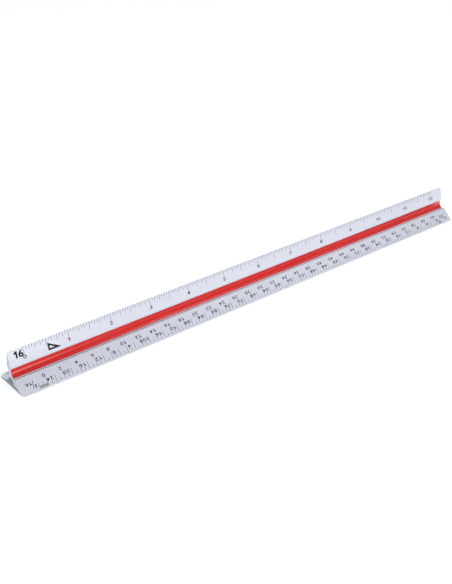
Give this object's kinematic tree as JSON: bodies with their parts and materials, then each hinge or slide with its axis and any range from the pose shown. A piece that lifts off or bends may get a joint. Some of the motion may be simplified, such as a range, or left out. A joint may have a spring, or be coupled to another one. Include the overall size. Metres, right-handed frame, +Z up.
{
  "type": "triangular scale ruler",
  "caption": "Triangular drafting scale: a white extruded bar with sloping scale edges and a coloured strip set in the concave groove of each face.",
  "frame": {"origin": "on the table, under the middle of the ruler, halfway between the tips of its two lower legs", "axes": "+X along the ruler towards its 12 inch end, -Y towards the face with the red strip and the 1:16 inch scale, +Z up"},
  "size_m": [0.3244, 0.0232, 0.0201],
  "materials": {
    "white_body": "satin moulded white, faintly lavender",
    "red_strip": "glossy",
    "green_strip": "glossy",
    "blue_strip": "glossy",
    "scale_ink": "thin printed ink, used only by the visual model's graduations and figures"
  },
  "bodies": {
    "root": {"ruler_body": "white_body", "groove_strip_red": "red_strip", "groove_strip_green": "green_strip", "groove_strip_blue": "blue_strip"}
  },
  "joints": []
}
